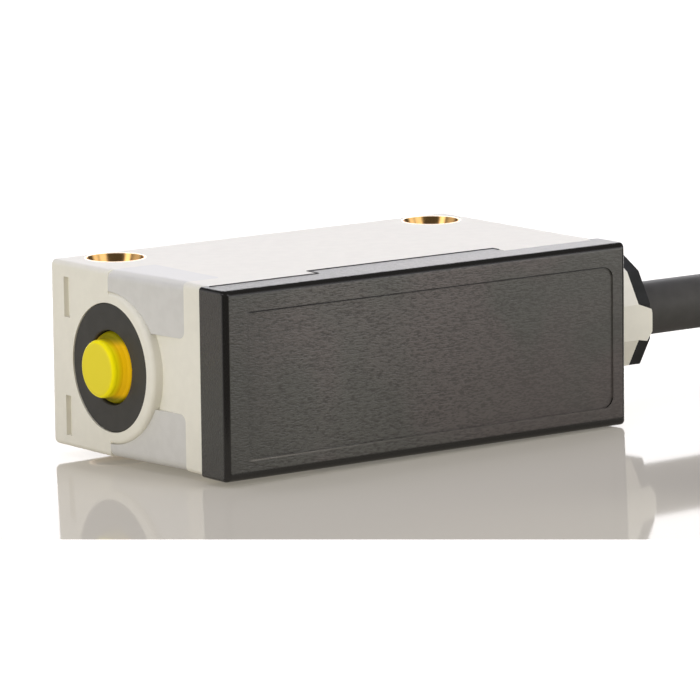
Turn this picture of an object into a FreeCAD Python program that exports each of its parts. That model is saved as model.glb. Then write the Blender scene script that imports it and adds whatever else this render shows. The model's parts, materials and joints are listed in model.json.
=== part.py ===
"""Miniature rectangular photoelectric sensor with a teach-in button, pigtail cable and snap-in plug.

Frame: millimetres, +Z up with the sensor lying on its broad side. The origin is midway between the
two mounting holes, on the lower broad side. +X points to the cable end, -Y to the optical front.
"""
import FreeCAD, Part
import math
import os

V = FreeCAD.Vector

# ---- driving dimensions ----
THICK = 12.0                    # broad side to broad side
HOLE_PITCH = 25.4               # M3 mounting holes
HOLE_R = 1.6
SLEEVE_R = 1.98
SLEEVE_MOUTHS = ((0, 1, 0.2, 1.8),    # end z, inward, depth and radius of each end's bevel
                 (THICK, -1, 0.7, 1.88))

BACK_Y = 2.4                    # rear face behind the holes
FRONT_Y = -16.4                 # outer face of the front cover
COVER_X = (-15.75, 16.1)        # the cover's two ends
JOINT_Y = -14.1                 # where cover and housing meet
COVER_END_Y = -13.7             # the cover's ends reach further back
TONGUE_X = (-6.8, 7.85)         # a tongue on each broad side locks the cover
TONGUE_Y = -12.9
TONGUE_DEEP = 0.5
FIELD = (-14.05, 14.97, 1.3, 10.55)   # recessed field: x low, x high, z low, z high
FIELD_DEEP = 0.12
FIELD_R = 0.8
EDGE = 0.45                     # rounding along the cover's front edges
CORNER = 0.25                   # rounding along the cover's four edges from front to back
GAP = 0.08                      # parting gap round the tongues

END_X = -15.4                   # button end, lower level
PLATEAU_X = -16.15              # button end, raised level
PLATEAU_Y = -4.2                # the raised level starts here
CABLE_END_X = 15.3
WALL = 1.2
CAVITY_X = 14.2                 # half length of the cavity
CAVITY_Y = -2.9                 # the cavity stops short of the mounting holes
BACK_POCKET_X = 9.6             # between the holes it goes deeper
BACK_POCKET_Y = 1.2
BODY_R = 0.35                   # rounding of the body's long edges

MID_Z = THICK / 2
BUTTON_Y, BUTTON_Z = -4.2, 5.75
BOSS_R = 4.9
BOSS_EDGE = 0.3
BEZEL_R = 4.15
BEZEL_THICK = 0.6
BEZEL_SUNK = 0.06
HOLE_IN_BEZEL_R = 2.37
BUTTON_SKIRT_R = 2.3
BUTTON_SKIRT_X = -15.85
BUTTON_RIM = 0.35
BUTTON_CAP_R = 1.84
BUTTON_TIP_X = -17.15
BUTTON_FLARE = ((-16.75, 1.86), (-16.4, 1.94), (-16.15, 2.08), (-16.0, 2.22))
FLANGE_R = 2.75
FLANGE_HOLE_R = 2.95
BOOT_HOLE_R = 2.0

SLOT_Y = 0.5                    # two shallow upright slots in the raised level
SLOT_WIDE = 0.65
SLOT_TALL = 2.6
SLOT_DEEP = 0.35
SLOT_Z = (0.75, 8.42)

WINDOW_Y = (-11.5, PLATEAU_Y)   # it rises to the raised level's face
WINDOW_TOP_X = -12.5
WINDOW_TALL = 3.6
WINDOW_THICK = 1.1
WINDOW_EDGE = 0.6               # rounding of its outer corner

CABLE_Y = -8.9
CABLE_R = 1.8
NOSE_R = 4.55                   # corner radius of the twelve-sided cable nose
NOSE_SIDES = 12
NOSE_LOW_Z = 3.0                # its lower side is cut flat
COLLAR_END_X = 19.65
GROMMET_END_X = 20.63
NOSE_LIP_Z = (4.82, 7.18)       # the front facet reaches over the grommet as a tongue
NOSE_LIP = ((20.33, 4.7), (20.78, 5.3), (20.78, 6.5), (20.72, 6.78), (20.2, 6.98))  # x, z
NOSE_LIP_PROUD = 0.04
GROMMET_NECK_R = 3.0
GROMMET_FOOT_R = 4.1
GROMMET_FOOT_X = 13.0

BOARD_Y = (-7.6, -6.8)          # main circuit board
BOARD_X = (-10.9, 9.4)
EMITTER_X, EMITTER_R = -6.2, 3.0
RECEIVER_X, RECEIVER_R = 3.4, 3.9
CARRIER_Y = (-13.5, -8.0)
CAPACITORS = ((-2.3, 3.4), (-2.3, 8.6), (7.9, 3.4), (7.9, 8.6), (-8.9, 8.9))     # x, z
SMALL_BOARD_X = (-12.2, -11.5)
SWITCH_X = (-13.6, SMALL_BOARD_X[0])
PLUNGER_R = 0.75

COIL_R = 18.0                   # to the middle of the turns
COIL_X, COIL_Y = 49.0, CABLE_Y - COIL_R
TIE_THICK = 0.2
FLOOR_GAP = 0.2                 # the tie lifts the coil this much
LEAD_LOW_Z = CABLE_R + FLOOR_GAP
LEAD = [                        # the cable's route from the nose to the coil
    (GROMMET_END_X, CABLE_Y, MID_Z),
    (35.5, CABLE_Y, MID_Z),
    (44.5, CABLE_Y, LEAD_LOW_Z),
    (COIL_X, CABLE_Y, LEAD_LOW_Z),
]

PLUG_X = 36.0                   # where the cable enters the plug's boot
PLUG_Y = COIL_Y - COIL_R
PLUG_R = 4.8
PLUG_BOOT = 8.0
PLUG_BODY = 15.5
PLUG_NOSE = 6.5
PLUG_NOSE_R = 3.55
PIN_R = 0.5
PIN_CIRCLE_R = 1.55


# ---- shape helpers ----
def box(x0, x1, y0, y1, z0, z1):
    return Part.makeBox(x1 - x0, y1 - y0, z1 - z0, V(x0, y0, z0))


def rod_x(x0, x1, y, z, r):
    return Part.makeCylinder(r, x1 - x0, V(x0, y, z), V(1, 0, 0))


def rod_y(x, y0, y1, z, r):
    return Part.makeCylinder(r, y1 - y0, V(x, y0, z), V(0, 1, 0))


def rod_z(x, y, z0, z1, r):
    return Part.makeCylinder(r, z1 - z0, V(x, y, z0), V(0, 0, 1))


def turned_x(profile, y, z):
    """A solid turned about the X-parallel axis at y, z. profile holds (x, radius) corners."""
    corners = [V(x, y + r, z) for x, r in profile]
    face = Part.Face(Part.makePolygon(corners + corners[:1]))
    return face.revolve(V(0, y, z), V(1, 0, 0), 360)


def union(first, *others):
    return first.fuse(list(others)).removeSplitter() if others else first


def near(a, b):
    return abs(a - b) < 1e-4


def edges_at(shape, **place):
    """The edges whose end points all have the given x, y or z."""
    return [e for e in shape.Edges
            if all(near(getattr(v.Point, axis), value)
                   for v in e.Vertexes for axis, value in place.items())]


def edges_along(edges, axis):
    """Those of the edges whose two ends differ in that axis alone."""
    others = [a for a in "xyz" if a != axis]
    return [e for e in edges if len(e.Vertexes) == 2
            and all(near(getattr(e.Vertexes[0].Point, a), getattr(e.Vertexes[1].Point, a))
                    for a in others)]


def round_edges(shape):
    """The full circles of a shape."""
    return [e for e in shape.Edges if len(e.Vertexes) == 1 and hasattr(e.Curve, "Radius")]


def save(name, shape):
    solids = shape.Solids
    out = solids[0] if len(solids) == 1 else Part.makeCompound(solids)
    assert out.isValid(), name
    out.exportStep("parts/" + name + ".step")
    size = out.BoundBox
    print(f"{name:24s} {len(solids)} solid  x {size.XMin:.2f}..{size.XMax:.2f}"
          f"  y {size.YMin:.2f}..{size.YMax:.2f}  z {size.ZMin:.2f}..{size.ZMax:.2f}")


# ---- housing ----
def window_block(low_z):
    """The L-shaped light guide: it covers a stretch of the end face and of a broad side."""
    y0, y1 = WINDOW_Y
    corners = [V(END_X, y0, 0), V(PLATEAU_X, y1, 0), V(WINDOW_TOP_X, y1, 0), V(WINDOW_TOP_X, y0, 0)]
    outer = Part.Face(Part.makePolygon(corners + corners[:1])).extrude(V(0, 0, WINDOW_TALL))
    outer = outer.makeFillet(0.5, edges_at(outer, z=WINDOW_TALL, y=y0)
                             + edges_at(outer, x=WINDOW_TOP_X, y=y0))
    block = outer.cut(box(END_X + WINDOW_THICK, 0, y0 - 1, y1 + 1, WINDOW_THICK, THICK))
    if not low_z:
        block = block.mirror(V(0, 0, MID_Z), V(0, 0, 1))
    boss = rod_x(PLATEAU_X, END_X + WINDOW_THICK + 1, BUTTON_Y, BUTTON_Z, BOSS_R)
    return max(block.cut(boss).Solids, key=lambda s: s.Volume)


def window(low_z):
    block = window_block(low_z)
    corner = [e for e in edges_at(block, z=0 if low_z else THICK)
              if all(v.X < END_X + 0.01 for v in e.Vertexes)]
    return block.makeFillet(WINDOW_EDGE, corner)


def nose_prism(x0, x1, radius):
    turn = math.pi / NOSE_SIDES
    corners = [V(x0, CABLE_Y + radius * math.sin(turn + 2 * turn * k),
                 MID_Z + radius * math.cos(turn + 2 * turn * k)) for k in range(NOSE_SIDES)]
    prism = Part.Face(Part.makePolygon(corners + corners[:1])).extrude(V(x1 - x0, 0, 0))
    return prism.common(box(x0, x1, CABLE_Y - radius, CABLE_Y + radius, NOSE_LOW_Z, THICK))


def nose_lip():
    """The collar's front facet, which runs on over the grommet as a tongue."""
    y0 = CABLE_Y - NOSE_R * math.cos(math.pi / NOSE_SIDES) - NOSE_LIP_PROUD
    x0, x1 = CABLE_END_X + 2, COLLAR_END_X
    z0, z1 = NOSE_LIP_Z
    outline = [(x0, z0), (x1, z0), *NOSE_LIP, (x1, z1), (x0, z1)]
    corners = [V(x, y0, z) for x, z in outline]
    return Part.Face(Part.makePolygon(corners + corners[:1])).extrude(V(0, 0.6, 0))


def grommet_ring():
    """The grommet's visible ring at the end of the nose, notched for the lip."""
    return nose_prism(COLLAR_END_X, GROMMET_END_X, NOSE_R - 0.03).cut(nose_lip())


def housing():
    body = box(END_X, CABLE_END_X, JOINT_Y, BACK_Y, 0, THICK)
    raised = box(PLATEAU_X, END_X + 1, PLATEAU_Y, BACK_Y, 0, THICK)
    body = union(body, raised)
    end_edges = edges_along(edges_at(body, x=PLATEAU_X), "y")
    end_edges += edges_along(edges_at(body, x=END_X), "y")
    body = body.makeFillet(BODY_R, edges_at(body, y=BACK_Y) + end_edges)
    boss = rod_x(PLATEAU_X, END_X + 1, BUTTON_Y, BUTTON_Z, BOSS_R)
    boss = boss.makeFillet(BOSS_EDGE, edges_at(boss, x=PLATEAU_X))
    body = union(body, boss)

    cavity = box(-CAVITY_X, CAVITY_X, JOINT_Y, CAVITY_Y, WALL, THICK - WALL)
    pocket = box(-BACK_POCKET_X, BACK_POCKET_X, CAVITY_Y - 0.1, BACK_POCKET_Y, WALL, THICK - WALL)
    body = body.cut(cavity).cut(pocket)

    # the front rim takes the seal, the tongues and the cover's ends
    body = body.cut(seal_ring())
    for z0 in (0, THICK - TONGUE_DEEP - GAP):
        notch = box(TONGUE_X[0] - GAP, TONGUE_X[1] + GAP, JOINT_Y, TONGUE_Y + GAP,
                    z0, z0 + TONGUE_DEEP + GAP)
        body = body.cut(notch)
    for x0, x1 in ((END_X, END_X + 0.3), (CABLE_END_X - 0.3, CABLE_END_X)):
        body = body.cut(box(x0, x1, JOINT_Y, COVER_END_Y + GAP, 0, THICK))

    # button hole, with the bezel's seat
    body = body.cut(rod_x(PLATEAU_X, PLATEAU_X + BEZEL_SUNK + BEZEL_THICK,
                          BUTTON_Y, BUTTON_Z, BEZEL_R))
    body = body.cut(rod_x(PLATEAU_X, -CAVITY_X, BUTTON_Y, BUTTON_Z, FLANGE_HOLE_R))
    body = body.cut(rod_x(PLATEAU_X, SWITCH_X[0], BUTTON_Y, BUTTON_Z, BOOT_HOLE_R))
    for z0 in SLOT_Z:
        slot = box(PLATEAU_X, PLATEAU_X + SLOT_DEEP, SLOT_Y - SLOT_WIDE / 2,
                   SLOT_Y + SLOT_WIDE / 2, z0, z0 + SLOT_TALL)
        body = body.cut(slot)
    for low_z in (True, False):
        body = body.cut(window_block(low_z))

    for side in (-1, 1):
        body = body.cut(rod_z(side * HOLE_PITCH / 2, 0, 0, THICK, SLEEVE_R))

    # cable nose
    body = union(body, nose_prism(CABLE_END_X - 0.5, COLLAR_END_X, NOSE_R), nose_lip())
    body = body.cut(rod_x(CAVITY_X, GROMMET_END_X + 1, CABLE_Y, MID_Z, GROMMET_NECK_R))
    return body.cut(grommet_ring())


def seal_ring():
    """Gasket in a groove of the housing's front rim."""
    outer_x, outer_z = CAVITY_X + 0.65, WALL - 0.65
    inner_x, inner_z = CAVITY_X + 0.2, WALL - 0.2
    y0, y1 = JOINT_Y, JOINT_Y + 0.4
    outer = box(-outer_x, outer_x, y0, y1, outer_z, THICK - outer_z)
    return outer.cut(box(-inner_x, inner_x, y0, y1, inner_z, THICK - inner_z))


def front_cover():
    plate = box(*COVER_X, FRONT_Y, JOINT_Y, 0, THICK)
    for x0, x1 in ((COVER_X[0], END_X + 0.3), (CABLE_END_X - 0.3, COVER_X[1])):
        plate = plate.fuse(box(x0, x1, JOINT_Y, COVER_END_Y, 0, THICK))
    for z0 in (0, THICK - TONGUE_DEEP):
        plate = plate.fuse(box(*TONGUE_X, JOINT_Y, TONGUE_Y, z0, z0 + TONGUE_DEEP))
    plate = plate.removeSplitter()
    corners = edges_at(plate, x=COVER_X[0]) + edges_at(plate, x=COVER_X[1])
    plate = plate.makeFillet(CORNER, edges_along(corners, "y"))
    plate = plate.makeFillet(EDGE, edges_at(plate, y=FRONT_Y))
    x0, x1, z0, z1 = FIELD
    field = box(x0, x1, FRONT_Y, FRONT_Y + FIELD_DEEP, z0, z1)
    return plate.cut(field.makeFillet(FIELD_R, edges_along(field.Edges, "y")))


def mounting_sleeve(side):
    x = side * HOLE_PITCH / 2
    sleeve = rod_z(x, 0, 0, THICK, SLEEVE_R).cut(rod_z(x, 0, 0, THICK, HOLE_R))
    for z, inward, deep, mouth_r in SLEEVE_MOUTHS:
        sleeve = sleeve.cut(Part.makeCone(mouth_r, HOLE_R, deep, V(x, 0, z), V(0, 0, inward)))
    return sleeve


# ---- button end ----
def button_bezel():
    x0 = PLATEAU_X + BEZEL_SUNK
    disc = rod_x(x0, x0 + BEZEL_THICK, BUTTON_Y, BUTTON_Z, BEZEL_R)
    disc = disc.cut(rod_x(x0, x0 + BEZEL_THICK, BUTTON_Y, BUTTON_Z, HOLE_IN_BEZEL_R))
    return disc.makeFillet(0.12, edges_at(disc, x=x0))


def teach_button():
    back = PLATEAU_X + BEZEL_SUNK + BEZEL_THICK + 0.15
    shape = turned_x([
        (BUTTON_TIP_X, 0), (BUTTON_TIP_X, BUTTON_CAP_R), *BUTTON_FLARE,
        (BUTTON_SKIRT_X, BUTTON_SKIRT_R), (back, BUTTON_SKIRT_R),
        (back, FLANGE_R), (back + 0.45, FLANGE_R),
        (back + 0.45, 1.0), (back + 0.75, 1.0), (back + 0.75, 0)], BUTTON_Y, BUTTON_Z)
    rim = [e for e in round_edges(shape) if near(e.Vertexes[0].X, BUTTON_TIP_X)]
    return shape.makeFillet(BUTTON_RIM, rim)


def button_seal():
    """Sealing ring that sits on the flange, round the skirt."""
    x = PLATEAU_X + BEZEL_SUNK + BEZEL_THICK + 0.15
    ring = rod_x(x + 0.05, x + 0.4, BUTTON_Y, BUTTON_Z, FLANGE_R + 0.15)
    return ring.cut(rod_x(x - 1, x + 1, BUTTON_Y, BUTTON_Z, FLANGE_R))


def return_boot(x0, x1):
    """Silicone dome between the button's flange and the switch: it pushes the button back out."""
    return turned_x([(x1, 1.55), (x1, 1.95), (x1 - 0.25, 1.95), (x0 + 0.2, 1.5), (x0, 1.5),
                     (x0, 1.1), (x0 + 0.3, 1.1)], BUTTON_Y, BUTTON_Z)


def switch_body():
    x0, x1 = SWITCH_X
    body = box(x0, x1, BUTTON_Y - 1.8, BUTTON_Y + 1.25, MID_Z - 2.2, MID_Z + 2.2)
    return body.cut(rod_x(x0, x1 - 0.2, BUTTON_Y, BUTTON_Z, PLUNGER_R + 0.08))


def switch_plunger():
    top = PLATEAU_X + BEZEL_SUNK + BEZEL_THICK + 0.9
    return rod_x(top, SWITCH_X[0] + 0.5, BUTTON_Y, BUTTON_Z, PLUNGER_R)


def indicator_board():
    return box(*SMALL_BOARD_X, -12.6, CAVITY_Y - 0.1, WALL + 0.2, THICK - WALL - 0.2)


def status_led(z):
    led = box(SMALL_BOARD_X[0] - 0.7, SMALL_BOARD_X[0], -9.7, -8.1, z - 0.8, z + 0.8)
    return led.makeChamfer(0.15, edges_at(led, x=SMALL_BOARD_X[0] - 0.7))


# ---- optics and electronics ----
def chamber(x, r):
    """A lens seat that narrows towards the chip behind it."""
    y0, y1 = CARRIER_Y
    seat = rod_y(x, y0, y0 + 1.9, MID_Z, r)
    taper = Part.makeCone(r - 0.35, 1.55, y1 - y0 - 1.9, V(x, y0 + 1.9, MID_Z), V(0, 1, 0))
    return seat.fuse(taper)


def optics_carrier():
    block = box(BOARD_X[0], BOARD_X[1] - 0.4, CARRIER_Y[0], CARRIER_Y[1], 1.5, THICK - 1.5)
    block = block.makeFillet(0.6, edges_along(block.Edges, "y"))
    return block.cut(chamber(EMITTER_X, EMITTER_R)).cut(chamber(RECEIVER_X, RECEIVER_R))


def lens(x, r, bulge):
    """Plano-convex, its curved side to the front, with a plain rim in the seat."""
    y0 = CARRIER_Y[0]
    rim = rod_y(x, y0 + 1.1, y0 + 1.9, MID_Z, r)
    ball_r = (r * r + bulge * bulge) / (2 * bulge)
    ball = Part.makeSphere(ball_r, V(x, y0 + 1.1 - bulge + ball_r, MID_Z))
    cap = ball.common(rod_y(x, y0 - 1, y0 + 1.1, MID_Z, r))
    return rim.fuse(cap).removeSplitter()


def main_board():
    return box(*BOARD_X, *BOARD_Y, WALL + 0.15, THICK - WALL - 0.15)


def emitter_led():
    y1 = BOARD_Y[0]
    base = box(EMITTER_X - 1.4, EMITTER_X + 1.4, y1 - 0.35, y1, MID_Z - 1.4, MID_Z + 1.4)
    dome = Part.makeSphere(0.9, V(EMITTER_X, y1 - 0.35, MID_Z))
    dome = dome.common(rod_y(EMITTER_X, y1 - 2, y1 - 0.35, MID_Z, 0.9))
    return base.fuse(dome).removeSplitter()


def receiver_chip():
    y1 = BOARD_Y[0]
    return box(RECEIVER_X - 1.2, RECEIVER_X + 1.2, y1 - 0.3, y1, MID_Z - 1.2, MID_Z + 1.2)


def receiver_shield():
    """Metal can on the back of the board, over the receiver's amplifier."""
    y0 = BOARD_Y[1]
    can = box(RECEIVER_X - 3.2, RECEIVER_X + 3.2, y0, y0 + 2.2, MID_Z - 3.1, MID_Z + 3.1)
    can = can.makeFillet(0.3, edges_at(can, y=y0 + 2.2))
    return can.cut(box(RECEIVER_X - 3.0, RECEIVER_X + 3.0, y0, y0 + 2.0, MID_Z - 2.9, MID_Z + 2.9))


def controller_chip():
    y0 = BOARD_Y[1]
    return box(EMITTER_X - 2.0, EMITTER_X + 2.0, y0, y0 + 1.0, MID_Z - 2.0, MID_Z + 2.0)


def board_capacitors():
    y0 = BOARD_Y[1]
    return Part.makeCompound([
        box(x - 0.8, x + 0.8, y0, y0 + 0.8, z - 0.4, z + 0.4) for x, z in CAPACITORS])


def board_link():
    """Four bridge pins between the end board and the main board."""
    pins = []
    for k in range(4):
        z = MID_Z + (k - 1.5) * 1.6
        pins.append(box(SMALL_BOARD_X[1], BOARD_X[0], -7.4, -7.0, z - 0.2, z + 0.2))
    return Part.makeCompound(pins)


# ---- cable entry ----
def cable_grommet():
    neck = rod_x(GROMMET_FOOT_X, COLLAR_END_X + 0.2, CABLE_Y, MID_Z, GROMMET_NECK_R)
    foot = rod_x(GROMMET_FOOT_X, CAVITY_X, CABLE_Y, MID_Z, GROMMET_FOOT_R)
    whole = grommet_ring().fuse([neck, foot]).removeSplitter()
    return whole.cut(rod_x(GROMMET_FOOT_X, GROMMET_END_X, CABLE_Y, MID_Z, CABLE_R))


def cable_jacket_end():
    return rod_x(11.7, GROMMET_END_X, CABLE_Y, MID_Z, CABLE_R)


def cable_clamp():
    ring = rod_x(11.9, 12.8, CABLE_Y, MID_Z, CABLE_R + 0.5)
    return ring.cut(rod_x(11.9, 12.8, CABLE_Y, MID_Z, CABLE_R))


def core_wires():
    """Four cores from the cable's end to their solder points beside the board's edge."""
    wires = []
    for dy, dz in ((-0.75, -0.75), (-0.75, 0.75), (0.75, -0.75), (0.75, 0.75)):
        wires.append(rod_x(BOARD_X[1], 11.7, CABLE_Y + 1.7 + dy * 0.6, MID_Z + dz, 0.42))
    return Part.makeCompound(wires)


# ---- free cable, coil and plug ----
def unit(a, b):
    d = b - a
    return d / d.Length


def rounded_path(points):
    """Straight runs joined by tangent arcs, each as large as its two runs allow."""
    points = [V(*p) for p in points]
    edges, start = [], points[0]
    for a, b, c in zip(points, points[1:], points[2:]):
        into, out = unit(a, b), unit(b, c)
        turn = math.acos(max(-1.0, min(1.0, into.dot(out))))
        shares = [0.96 if end in (points[0], points[-1]) else 0.48 for end in (a, c)]
        back = min(shares[0] * (b - a).Length, shares[1] * (c - b).Length)
        radius = back / math.tan(turn / 2)
        print(f"cable arc radius {radius:.1f} mm, turn {math.degrees(turn):.1f} degrees")
        p0, p1 = b - into * back, b + out * back
        middle = unit(b, (p0 + p1) / 2)
        bulge = b + middle * (radius / math.cos(turn / 2) - radius)
        edges.append(Part.LineSegment(start, p0).toShape())
        edges.append(Part.Arc(p0, bulge, p1).toShape())
        start = p1
    edges.append(Part.LineSegment(start, points[-1]).toShape())
    return Part.Wire(edges)


def tail():
    """The last stretch, from the top turn to the plug."""
    start = V(COIL_X, PLUG_Y, FLOOR_GAP + 3 * CABLE_R)
    along = V(PLUG_X, PLUG_Y, PLUG_R) - start
    return Part.makeCylinder(CABLE_R, along.Length, start, along).cut(plug_boot())


def tube(points):
    path = rounded_path(points)
    circle = Part.Wire(Part.makeCircle(CABLE_R, V(*points[0]), unit(V(*points[0]), V(*points[1]))))
    solid = path.makePipeShell([circle], True, True)
    ideal = math.pi * CABLE_R ** 2 * path.Length
    print(f"cable lead {path.Length:.1f} mm, volume {solid.Volume:.1f}, section x length {ideal:.1f}")
    return solid


def cable_coil():
    """Outer shape of one and a half turns that lie on each other."""
    ring = rod_z(COIL_X, COIL_Y, FLOOR_GAP, FLOOR_GAP + 4 * CABLE_R, COIL_R + CABLE_R)
    ring = ring.cut(rod_z(COIL_X, COIL_Y, FLOOR_GAP, FLOOR_GAP + 4 * CABLE_R, COIL_R - CABLE_R))
    return ring.makeFillet(1.2, round_edges(ring))


def coil_tie():
    """Thin flat band round both turns, on the side away from the sensor."""
    x = COIL_X + COIL_R
    z0, z1 = FLOOR_GAP, FLOOR_GAP + 4 * CABLE_R
    outer = box(x - CABLE_R - TIE_THICK, x + CABLE_R + TIE_THICK, COIL_Y - 1.5, COIL_Y + 1.5,
                z0 - TIE_THICK, z1 + TIE_THICK)
    outer = outer.makeFillet(1.2 + TIE_THICK, edges_along(outer.Edges, "y"))
    knot = box(x - 1.3, x + 1.3, COIL_Y - 1.1, COIL_Y + 1.1, z1, z1 + 1.2)
    band = outer.fuse(knot.makeFillet(0.4, edges_along(knot.Edges, "y"))).removeSplitter()
    return band.cut(cable_coil())


def plug_boot():
    """Ribbed bend relief that grows from the cable to the plug body."""
    x1 = PLUG_X
    profile = [(x1, CABLE_R), (x1, CABLE_R + 0.7)]
    ribs = 4
    step = PLUG_BOOT / ribs
    for k in range(ribs):
        r = CABLE_R + 0.7 + k * 0.45
        x = x1 - k * step
        profile += [(x, r + 0.35), (x - 0.6 * step, r + 0.55),
                    (x - 0.6 * step, r + 0.1), (x - step, r + 0.1)]
    profile.append((x1 - PLUG_BOOT, 0))
    profile[0] = (x1, 0)
    return turned_x(profile, PLUG_Y, PLUG_R)


def plug_body():
    x1 = PLUG_X - PLUG_BOOT
    x0 = x1 - PLUG_BODY
    body = turned_x([(x1, 0), (x1, PLUG_R - 0.6), (x1 - 0.6, PLUG_R), (x0 + 0.4, PLUG_R),
                     (x0, PLUG_R - 0.4), (x0, 0)], PLUG_Y, PLUG_R)
    grips = 18
    for k in range(grips):
        a = 2 * math.pi * k / grips
        groove = rod_x(x0 + 2.5, x1 - 2.5, PLUG_Y + (PLUG_R + 0.25) * math.cos(a),
                       PLUG_R + (PLUG_R + 0.25) * math.sin(a), 0.55)
        body = body.cut(groove)
    return body


def plug_nose():
    """Snap-in collar: a tube with a latch groove outside and an open socket inside."""
    x1 = PLUG_X - PLUG_BOOT - PLUG_BODY
    x0 = x1 - PLUG_NOSE
    collar = turned_x([
        (x1, 0), (x1, PLUG_NOSE_R), (x1 - 2.0, PLUG_NOSE_R), (x1 - 2.3, PLUG_NOSE_R - 0.35),
        (x1 - 3.3, PLUG_NOSE_R - 0.35), (x1 - 3.6, PLUG_NOSE_R), (x0 + 0.5, PLUG_NOSE_R),
        (x0, PLUG_NOSE_R - 0.4), (x0, PLUG_NOSE_R - 0.9), (x1 - 1.0, PLUG_NOSE_R - 0.9),
        (x1 - 1.0, 0)], PLUG_Y, PLUG_R)
    key = box(x0 + 0.4, x1 - 0.8, PLUG_Y - 0.45, PLUG_Y + 0.45,
              PLUG_R + PLUG_NOSE_R - 1.4, PLUG_R + PLUG_NOSE_R - 0.7)
    return collar.fuse(key).removeSplitter()


def plug_pins():
    x1 = PLUG_X - PLUG_BOOT - PLUG_BODY - 1.0
    x0 = x1 - 4.4
    pins = []
    for k in range(4):
        a = math.pi / 4 + k * math.pi / 2
        y, z = PLUG_Y + PIN_CIRCLE_R * math.cos(a), PLUG_R + PIN_CIRCLE_R * math.sin(a)
        pins.append(turned_x([(x1, 0), (x1, PIN_R), (x0 + 0.35, PIN_R), (x0, PIN_R - 0.25),
                              (x0, 0)], y, z))
    return Part.makeCompound(pins)


def main():
    os.makedirs("parts", exist_ok=True)
    flange_back = PLATEAU_X + BEZEL_SUNK + BEZEL_THICK + 0.6
    save("housing", housing())
    save("front_cover", front_cover())
    save("cover_seal", seal_ring())
    save("mounting_sleeves", Part.makeCompound([mounting_sleeve(-1), mounting_sleeve(1)]))
    save("indicator_window_lower", window(True))
    save("indicator_window_upper", window(False))
    save("button_bezel", button_bezel())
    save("teach_button", teach_button())
    save("button_seal", button_seal())
    save("return_boot", return_boot(flange_back, SWITCH_X[0]))
    save("switch_body", switch_body())
    save("switch_plunger", switch_plunger())
    save("indicator_board", indicator_board())
    save("status_led_lower", status_led(2.6))
    save("status_led_upper", status_led(THICK - 2.6))
    save("optics_carrier", optics_carrier())
    save("emitter_lens", lens(EMITTER_X, EMITTER_R, 0.9))
    save("receiver_lens", lens(RECEIVER_X, RECEIVER_R, 1.0))
    save("main_board", main_board())
    save("emitter_led", emitter_led())
    save("receiver_chip", receiver_chip())
    save("receiver_shield", receiver_shield())
    save("controller_chip", controller_chip())
    save("board_capacitors", board_capacitors())
    save("board_link", board_link())
    save("cable_grommet", cable_grommet())
    save("cable_jacket_end", cable_jacket_end())
    save("cable_clamp", cable_clamp())
    save("core_wires", core_wires())
    save("sensor_cable", tube(LEAD))
    save("cable_coil", cable_coil())
    save("cable_tail", tail())
    save("coil_tie", coil_tie())
    save("plug_boot", plug_boot())
    save("plug_body", plug_body())
    save("plug_nose", plug_nose())
    save("plug_pins", plug_pins())


main()
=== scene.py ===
"""Looks of a miniature photoelectric sensor: materials, cable, studio and camera round the CAD frame."""
import json
import math

import bpy
from mathutils import Matrix, Vector
from mathutils.geometry import intersect_line_plane


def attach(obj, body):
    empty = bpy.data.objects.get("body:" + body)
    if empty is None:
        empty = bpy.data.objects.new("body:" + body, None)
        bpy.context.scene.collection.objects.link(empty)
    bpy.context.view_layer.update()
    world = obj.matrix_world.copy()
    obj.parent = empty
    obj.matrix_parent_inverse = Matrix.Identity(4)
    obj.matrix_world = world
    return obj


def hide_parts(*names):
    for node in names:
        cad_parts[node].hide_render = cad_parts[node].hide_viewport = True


MM = 0.001
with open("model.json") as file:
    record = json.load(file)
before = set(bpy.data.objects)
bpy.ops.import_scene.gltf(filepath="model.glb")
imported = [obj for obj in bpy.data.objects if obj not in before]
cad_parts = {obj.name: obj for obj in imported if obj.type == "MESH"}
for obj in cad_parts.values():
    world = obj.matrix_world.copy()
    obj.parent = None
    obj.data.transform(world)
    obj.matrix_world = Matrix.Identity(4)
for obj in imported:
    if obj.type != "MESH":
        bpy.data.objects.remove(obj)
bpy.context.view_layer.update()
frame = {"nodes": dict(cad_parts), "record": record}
nodes = frame["nodes"]


def mm(*point):
    return Vector(point) * MM


# Lengths are in millimetres in the CAD frame, apart from names that end in _M.

# ---- camera ----
EYE = (-213.05, -297.45, 65.55)


def make_camera(eye, azimuth, elevation, roll, lens):
    """A camera whose azimuth 0 looks along +Y; roll turns it about its own line of sight."""
    az, el, ro = (math.radians(a) for a in (azimuth, elevation, roll))
    back = Vector((math.sin(az) * math.cos(el), -math.cos(az) * math.cos(el), math.sin(el)))
    level = Vector((math.cos(az), math.sin(az), 0))
    upright = back.cross(level)
    right = math.cos(ro) * level + math.sin(ro) * upright
    up = back.cross(right)
    data = bpy.data.cameras.new("camera")
    data.sensor_width = 36
    data.lens = lens
    data.clip_start = 0.01
    data.clip_end = 20
    camera = bpy.data.objects.new("camera", data)
    bpy.context.scene.collection.objects.link(camera)
    turn = Matrix((right, up, back)).transposed().to_4x4()
    camera.matrix_world = Matrix.Translation(mm(*eye)) @ turn
    bpy.context.scene.camera = camera


# ---- cable ----
CABLE_R = 1.8
CABLE_Y = -8.9
EXIT_X = 20.63
EXIT_Z = 6.0
COIL_R = 18.0
COIL_X = 49.0
COIL_Y = CABLE_Y - COIL_R
COIL_TURNS = 1.5
LOW_Z = CABLE_R + 0.2
HIGH_Z = LOW_Z + 2 * CABLE_R
TAIL_X = 47.5
PLUG_X = 36.0
PLUG_Z = 4.8
LEAD = [(EXIT_X, CABLE_Y, EXIT_Z),
        (26.5, CABLE_Y, EXIT_Z),
        (35.5, CABLE_Y, EXIT_Z),
        (44.5, CABLE_Y, LOW_Z)]


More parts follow.
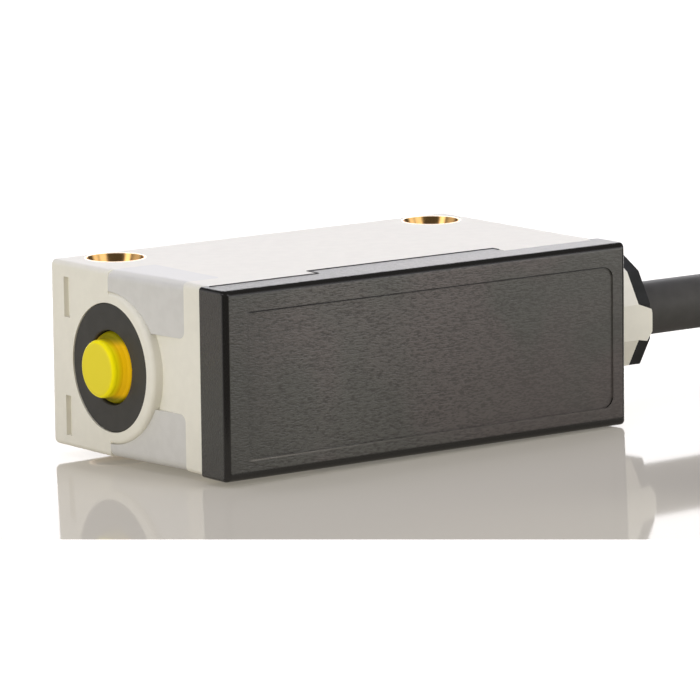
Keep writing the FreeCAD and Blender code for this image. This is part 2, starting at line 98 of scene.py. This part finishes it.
def coil_points(turns, per_turn=16):
    """Corners round the turns, clockwise from the lead; the second turn lies on the first."""
    corner_r = COIL_R / math.cos(math.pi / per_turn)
    points = []
    for k in range(int(turns * per_turn)):
        turned = (k + 0.5) / per_turn
        rise = min(1.0, max(0.0, (turned - 0.75) / 0.17))
        angle = math.radians(90 - 360 * turned)
        points.append((COIL_X + corner_r * math.cos(angle),
                       COIL_Y + corner_r * math.sin(angle),
                       LOW_Z + (HIGH_Z - LOW_Z) * rise))
    return points


def tube(name, kind, route, radius):
    """A round curve. The radius sits in the points, so that the object's box is its true one."""
    data = bpy.data.curves.new(name, "CURVE")
    data.dimensions = "3D"
    spline = data.splines.new(kind)
    spline.points.add(len(route) - 1)
    for point, place in zip(spline.points, route):
        point.co = (*mm(*place), 1)
        point.radius = radius * MM
    spline.order_u = 3
    spline.use_endpoint_u = True
    data.resolution_u = 10
    data.bevel_depth = 1.0
    data.bevel_resolution = 8
    obj = bpy.data.objects.new(name, data)
    bpy.context.scene.collection.objects.link(obj)
    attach(obj, "sensor")
    return obj


def make_cable():
    """One smooth tube for lead, coil and tail, up to the plug's boot."""
    route = LEAD + coil_points(COIL_TURNS)
    route += [(TAIL_X, COIL_Y - COIL_R, HIGH_Z), (PLUG_X, COIL_Y - COIL_R, PLUG_Z)]
    cable = tube("cable", "NURBS", route, CABLE_R)
    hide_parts("sensor_cable", "cable_coil", "cable_tail")
    return cable


TOP_Z = 12.0
SEAM_R = 0.045
# corners of the joint round the tongue, x and y
SEAM = [(-15.2, -14.05), (-6.86, -14.05), (-6.86, -12.84), (7.91, -12.84), (7.91, -13.5)]


def make_seam_shadow():
    """Painted shadow: a fine black tube round the cover's tongue on the top, where the joint's gap lies
    in shade.
    """
    shadow_line = tube("seam_shadow_line", "POLY", [(*place, TOP_Z) for place in SEAM], SEAM_R)
    return shadow_line


# ---- materials ----
GRAIN = 0.095
# painted shadow and painted highlight along the borders of the cover's field: height, width, weight past
# the middle, colour
FIELD_PAINTED_LINES = [(10.53, 0.08, 0.8, (0.001, 0.001, 0.001)),
               (1.25, 0.08, 0.15, (0.14, 0.13, 0.12))]
BUTTON_Z = 5.75
# name, colour, roughness
METALS = [("sleeve_brass", (0.78, 0.46, 0.17), 0.16),
          ("can_steel", (0.7, 0.7, 0.69), 0.3),
          ("contact_gold", (0.9, 0.62, 0.25), 0.2)]


class Surface:
    """A Principled material with helpers for grain and colour variation."""

    def __init__(self, name, color, roughness, **sockets):
        self.material = bpy.data.materials.new(name)
        self.material.use_nodes = True
        self.tree = self.material.node_tree
        self.shader = self.tree.nodes["Principled BSDF"]
        self.set("Base Color", (*color, 1))
        self.set("Roughness", roughness)
        for socket, value in sockets.items():
            self.set(socket.replace("_", " "), value)
        self.coords = self.tree.nodes.new("ShaderNodeTexCoord")

    def set(self, socket, value):
        self.shader.inputs[socket].default_value = value

    def link(self, a, b):
        self.tree.links.new(a, b)

    def noise(self, grain_mm, detail=2.0, stretch=(1, 1, 1)):
        node = self.tree.nodes.new("ShaderNodeTexNoise")
        node.inputs["Scale"].default_value = 1 / (grain_mm * MM)
        node.inputs["Detail"].default_value = detail
        mapping = self.tree.nodes.new("ShaderNodeMapping")
        mapping.inputs["Scale"].default_value = [1 / length for length in stretch]
        self.link(self.coords.outputs["Object"], mapping.inputs["Vector"])
        self.link(mapping.outputs["Vector"], node.inputs["Vector"])
        return node.outputs["Fac"]

    def varied(self, grain_mm, dark, light):
        """Base colour that drifts between two tones."""
        node = self.tree.nodes.new("ShaderNodeValToRGB")
        for element, place, color in zip(node.color_ramp.elements, (0.35, 0.65), (dark, light)):
            element.position = place
            element.color = (*color, 1)
        self.link(self.noise(grain_mm, 3.0), node.inputs["Fac"])
        self.link(node.outputs["Color"], self.shader.inputs["Base Color"])
        return self

    def math(self, operation, *values):
        node = self.tree.nodes.new("ShaderNodeMath")
        node.operation = operation
        for socket, value in zip(node.inputs, values):
            if isinstance(value, (int, float)):
                socket.default_value = value
            else:
                self.link(value, socket)
        return node.outputs["Value"]

    def fade(self, value, low, high, start=0.0, end=1.0):
        """Runs smoothly from start to end while value goes from low to high."""
        node = self.tree.nodes.new("ShaderNodeMapRange")
        node.interpolation_type = "SMOOTHSTEP"
        for socket, number in zip(("From Min", "From Max", "To Min", "To Max"),
                                  (low, high, start, end)):
            node.inputs[socket].default_value = number
        self.link(value, node.inputs["Value"])
        return node.outputs["Result"]

    def fade_mm(self, value, low, high, start=0.0, end=1.0):
        return self.fade(value, low * MM, high * MM, start, end)

    def distance(self, value, place_mm):
        return self.math("ABSOLUTE", self.math("SUBTRACT", value, place_mm * MM))

    def axes(self, output="Object"):
        node = self.tree.nodes.new("ShaderNodeSeparateXYZ")
        self.link(self.coords.outputs[output], node.inputs["Vector"])
        return node.outputs

    def blend(self, weight, first, second):
        node = self.tree.nodes.new("ShaderNodeMix")
        node.data_type = "RGBA"
        self.link(weight, node.inputs["Factor"])
        for socket, value in ((node.inputs["A"], first), (node.inputs["B"], second)):
            if isinstance(value, tuple):
                socket.default_value = (*value, 1)
            else:
                self.link(value, socket)
        return node.outputs["Result"]

    def rough(self, grain_mm, low, high):
        """Roughness that drifts between two values."""
        node = self.tree.nodes.new("ShaderNodeMapRange")
        node.inputs["To Min"].default_value = low
        node.inputs["To Max"].default_value = high
        self.link(self.noise(grain_mm), node.inputs["Value"])
        self.link(node.outputs["Result"], self.shader.inputs["Roughness"])
        return self

    def bump(self, grain_mm, height_mm):
        node = self.tree.nodes.new("ShaderNodeBump")
        node.inputs["Strength"].default_value = 1.0
        node.inputs["Distance"].default_value = height_mm * MM
        self.link(self.noise(grain_mm), node.inputs["Height"])
        self.link(node.outputs["Normal"], self.shader.inputs["Normal"])
        return self


def grained_cover():
    """Black moulding: wrinkled grain on the flats, smooth and glossy along the rounded edges; painted
    shade at the button end and along the foot of the front face, a painted shadow and a painted
    highlight along the field's borders.
    """
    surface = Surface("filter_dark", (0.03, 0.03, 0.03), 0.4)
    place = surface.axes()
    normal = surface.axes("Normal")
    lean = [surface.math("ABSOLUTE", normal[axis]) for axis in "XYZ"]
    steepest = surface.math("MAXIMUM", lean[0], surface.math("MAXIMUM", lean[1], lean[2]))
    front = surface.fade(normal["Y"], -0.99, -0.9, 1.0, 0.0)
    # painted shade: the foot of the front face gets the dark colour and gloss of the rounded edges
    painted_foot_shade = surface.math("MULTIPLY", front, surface.fade_mm(place["Z"], 0.48, 0.66, 1.0, 0.0))
    flat = surface.math("SUBTRACT", surface.fade(steepest, 0.94, 0.995), painted_foot_shade)

    # the grain is sharp at the button end and softer towards the cable; its colour is lighter towards
    # the cable and painted darker, as shade, at the button end
    grain = surface.noise(GRAIN, 1.5, stretch=(3.5, 1, 1))
    tint = surface.blend(surface.fade(surface.noise(7, 1.0), 0.4, 0.6),
                         (0.082, 0.080, 0.072), (0.098, 0.085, 0.080))
    light = surface.math("MAXIMUM", surface.fade(grain, 0.25, 0.6),
                         surface.fade_mm(place["X"], -8, 14, 0.0, 0.6))
    speckle_and_shade = surface.blend(light, (0.047, 0.042, 0.039), tint)
    # painted shade: the speckle darkens towards the button end
    speckle_and_shade = surface.blend(surface.fade_mm(place["X"], -15.74, -8, 0.6, 0.0), speckle_and_shade,
                            (0.038, 0.038, 0.033))
    color = surface.blend(flat, (0.010, 0.009, 0.008), speckle_and_shade)

    # painted shadow along the field's upper border as a fine dark line, painted highlight along its
    # lower one
    inside = surface.fade_mm(surface.distance(place["X"], 0.2), 13.9, 14.3, 1.0, 0.0)
    inside = surface.math("MULTIPLY", front, inside)
    for height, width, far_weight, painted_line_color in FIELD_PAINTED_LINES:
        line = surface.fade_mm(surface.distance(place["Z"], height), 0.3 * width, width, 1.0, 0.0)
        weight = surface.fade_mm(place["X"], -13, 0, 1.0, far_weight)
        weight = surface.math("MULTIPLY", weight, surface.math("MULTIPLY", line, inside))
        color = surface.blend(weight, color, painted_line_color)
    surface.link(color, surface.shader.inputs["Base Color"])
    surface.link(surface.fade(flat, 0.0, 1.0, 0.18, 0.42), surface.shader.inputs["Roughness"])

    bump = surface.tree.nodes.new("ShaderNodeBump")
    bump.inputs["Distance"].default_value = 0.06 * MM
    strength = surface.math("MULTIPLY", surface.fade(flat, 0.0, 1.0, 0.03, 1.0),
                            surface.fade_mm(place["X"], -15, 14, 1.0, 0.35))
    surface.link(strength, bump.inputs["Strength"])
    surface.link(grain, bump.inputs["Height"])
    surface.link(bump.outputs["Normal"], surface.shader.inputs["Normal"])
    return surface.material


def button_plastic():
    """Yellow moulding with painted light and shade: a paler, whitish painted sheen on the cap's flat
    face, painted light on its side, deeper orange as painted shade towards its foot, and dark olive
    painted shade at the top and bottom of the foot.
    """
    surface = Surface("button_yellow", (0.8, 0.64, 0.006), 0.4, Specular_IOR_Level=0.15)
    place = surface.axes()
    # painted light on the side, deepening to orange as painted shade towards the foot
    side = surface.blend(surface.fade_mm(place["X"], -16.9, -16.3),
                         (1.0, 0.86, 0.0), (1.0, 0.58, 0.002))
    # painted shade: dark olive at the top and bottom of the foot, in the recess round the cap
    shade = surface.math("MULTIPLY",
                         surface.fade_mm(surface.distance(place["Z"], BUTTON_Z), 1.5, 2.0),
                         surface.fade_mm(place["X"], -16.85, -16.6))
    side = surface.blend(shade, side, (0.28, 0.24, 0.002))
    # painted sheen: the flat face is paler and whiter than the side
    face = surface.fade(surface.axes("Normal")["X"], -0.99, -0.75, 1.0, 0.0)
    surface.link(surface.blend(face, side, (0.82, 0.69, 0.035)),
                 surface.shader.inputs["Base Color"])
    return surface.bump(0.15, 0.0015).material


def smoked_guide():
    """Smoky light guide with painted light: paler on its top faces."""
    surface = Surface("window_smoke", (0.62, 0.605, 0.58), 0.45, Specular_IOR_Level=0.03)
    side = surface.blend(surface.fade(surface.noise(0.7, 3.0), 0.35, 0.65),
                         (0.62, 0.605, 0.578), (0.642, 0.627, 0.60))
    # painted light: faces turned up are paler
    top = surface.fade(surface.axes("Normal")["Z"], 0.5, 0.9)
    surface.link(surface.blend(top, side, (0.72, 0.705, 0.65)), surface.shader.inputs["Base Color"])
    return surface.rough(0.36, 0.39, 0.51).bump(0.12, 0.004).material


def shades(color, spread):
    return tuple(c * (1 - spread) for c in color), tuple(c * (1 + spread) for c in color)


def make_materials():
    """Every material slot of the record, by name."""
    made = {}

    def plastic(name, color, roughness, spread=0.05, grain=0.12, height=0.004, **sockets):
        dark, light = shades(color, spread)
        surface = Surface(name, color, roughness, **sockets)
        surface.varied(grain * 6, dark, light).rough(grain * 3, roughness - 0.06, roughness + 0.06)
        made[name] = surface.bump(grain, height).material

    plastic("housing_white", (0.79, 0.76, 0.67), 0.5, spread=0.015, height=0.003,
            Specular_IOR_Level=0.05)
    made["filter_dark"] = grained_cover()
    plastic("seal_rubber", (0.02, 0.02, 0.02), 0.7, Specular_IOR_Level=0.05)
    made["window_smoke"] = smoked_guide()
    plastic("bezel_grey", (0.042, 0.040, 0.036), 0.55, spread=0.08)
    plastic("boot_silicone", (0.6, 0.6, 0.58), 0.5)
    plastic("switch_plastic", (0.04, 0.04, 0.04), 0.5)
    plastic("board_green", (0.02, 0.14, 0.05), 0.35)
    plastic("led_clear", (0.8, 0.78, 0.6), 0.2)
    plastic("carrier_black", (0.012, 0.012, 0.012), 0.7)
    plastic("chip_black", (0.02, 0.02, 0.02), 0.6)
    plastic("capacitor_tan", (0.4, 0.27, 0.15), 0.5)
    plastic("grommet_rubber", (0.030, 0.030, 0.030), 0.6, spread=0.1, Specular_IOR_Level=0.08)
    plastic("cable_jacket", (0.070, 0.067, 0.063), 0.5, spread=0.08, grain=0.2,
            Specular_IOR_Level=0.12)
    plastic("core_insulation", (0.3, 0.15, 0.06), 0.4)
    plastic("tie_black", (0.02, 0.02, 0.02), 0.4)
    plastic("plug_rubber", (0.022, 0.022, 0.022), 0.45, spread=0.1)
    plastic("plug_plastic", (0.018, 0.018, 0.018), 0.35)
    made["button_yellow"] = button_plastic()
    for name, color, roughness in METALS:
        surface = Surface(name, color, roughness, Metallic=1.0)
        surface.rough(0.3, roughness - 0.05, roughness + 0.1)
        made[name] = surface.bump(0.15, 0.001).material
    glass = Surface("lens_clear", (0.9, 0.92, 0.93), 0.05, Transmission_Weight=1.0)
    made["lens_clear"] = glass.bump(1.5, 0.0005).material
    return made


def paint(obj, material):
    obj.data.materials.clear()
    obj.data.materials.append(material)


# ---- studio ----
# azimuth, elevation, inner and outer radius in degrees, strength
CARDS = [(36, 0, 28, 38, 3.2),
         (-48, 0, 20, 38, 0.7),
         (128, 0, 18, 32, 1.8),
         (157, 33, 8, 20, 1.5),
         (-88, 33, 4, 16, 2.2)]
AMBIENT = 0.1
# name, azimuth, elevation, size in metres, power in watts, colour
SOFT_LIGHTS = [("top", 0, 80, 0.8, 1.75, (0.95, 0.955, 1.23)),
               ("left", -110, 8, 0.6, 2.0, (1.0, 0.995, 0.93)),
               ("front", 160, 12, 0.6, 2.55, (1.0, 0.995, 0.94))]
LIGHT_DISTANCE_M = 0.6
# three points of the plate, under the button end's back and front and under the cable
PLATE = [Vector((-16, 0, -0.65)), Vector((-15.75, -16.4, -0.34)), Vector((25, -8.9, -0.18))]
PLATE_BEND = 62
PLATE_REACH = 900
PLATE_DEPTH = 2400


def make_floor():
    """A glossy white plate, lit a little from below; its front edge runs close before the object.

    It lies 0.1 mm below the sensor at the front right and up to 0.65 mm below it at the back of the
    button end, for the mirror image to start that low. Past the view, beside the cable, it levels out.
    """
    slope = (PLATE[1] - PLATE[0]).cross(PLATE[2] - PLATE[0])
    along = Vector((31.5, -26.3, 0)).normalized()
    ends = [Vector((-20.3, -35.3, 0)) + along * distance for distance in (0, 60)]
    start, end = (intersect_line_plane(Vector(EYE), point, PLATE[0], slope) for point in ends)
    along = (end - start).normalized()
    bend = start + along * PLATE_BEND
    away = Vector((0.593, 0.805, 0))
    away.z = -(away.x * slope.x + away.y * slope.y) / slope.z
    corners = [start - along * PLATE_REACH, bend, bend + Vector((0.77, -0.64, -0.012)) * PLATE_REACH]
    corners += [corner + away * PLATE_DEPTH for corner in reversed(corners)]
    mesh = bpy.data.meshes.new("floor")
    mesh.from_pydata([corner * MM for corner in corners], [], [(0, 1, 4, 5), (1, 2, 3, 4)])
    floor = bpy.data.objects.new("floor", mesh)
    bpy.context.scene.collection.objects.link(floor)
    surface = Surface("floor_white", (0.46, 0.43, 0.365), 0.05, Specular_IOR_Level=0.03,
                      Emission_Color=(1, 0.94, 0.83, 1), Emission_Strength=0.15)
    paint(floor, surface.bump(40, 0.002).material)


def aim(azimuth, elevation):
    """Unit vector; azimuth 0 is +Y and grows towards +X."""
    az, el = math.radians(azimuth), math.radians(elevation)
    return Vector((math.sin(az) * math.cos(el), math.cos(az) * math.cos(el), math.sin(el)))


def make_world():
    """A dim studio with bright paper behind the object and white cards at its sides."""
    world = bpy.data.worlds.new("studio")
    bpy.context.scene.world = world
    world.use_nodes = True
    tree = world.node_tree
    coords = tree.nodes.new("ShaderNodeTexCoord")
    ambient = tree.nodes.new("ShaderNodeValue")
    total = ambient.outputs["Value"]
    total.default_value = AMBIENT
    for azimuth, elevation, inner, outer, strength in CARDS:
        facing = tree.nodes.new("ShaderNodeVectorMath")
        facing.operation = "DOT_PRODUCT"
        facing.inputs[1].default_value = aim(azimuth, elevation)
        tree.links.new(coords.outputs["Generated"], facing.inputs[0])
        card = tree.nodes.new("ShaderNodeMapRange")
        card.interpolation_type = "SMOOTHSTEP"
        card.inputs["From Min"].default_value = math.cos(math.radians(outer))
        card.inputs["From Max"].default_value = math.cos(math.radians(inner))
        card.inputs["To Max"].default_value = strength
        tree.links.new(facing.outputs["Value"], card.inputs["Value"])
        add = tree.nodes.new("ShaderNodeMath")
        tree.links.new(card.outputs["Result"], add.inputs[0])
        tree.links.new(total, add.inputs[1])
        total = add.outputs["Value"]
    tree.links.new(total, tree.nodes["Background"].inputs["Strength"])
    tree.nodes["Background"].inputs["Color"].default_value = (1.0, 0.99, 1.01, 1)


def soft_light(name, azimuth, elevation, size, power, color):
    """A round soft box that gives light but no mirror image."""
    data = bpy.data.lights.new(name, "AREA")
    data.shape = "DISK"
    data.size = size
    data.energy = power
    data.color = color
    light = bpy.data.objects.new(name, data)
    bpy.context.scene.collection.objects.link(light)
    place = aim(azimuth, elevation) * LIGHT_DISTANCE_M
    light.location = place
    light.rotation_euler = (-place).to_track_quat("-Z", "Y").to_euler()
    light.visible_glossy = False


make_camera(EYE, azimuth=-36.352, elevation=9.467, roll=-0.691, lens=290.99)
cable = make_cable()
seam = make_seam_shadow()
materials = make_materials()
for sub in frame["record"]["subparts"]:
    paint(nodes[sub["node"]], materials[sub["material_slot"]])
paint(cable, materials["cable_jacket"])
# black rubber for the painted shadow line along the seam
paint(seam, materials["seal_rubber"])
make_floor()
make_world()
for soft in SOFT_LIGHTS:
    soft_light(*soft)
bpy.context.scene.view_settings.view_transform = "Standard"
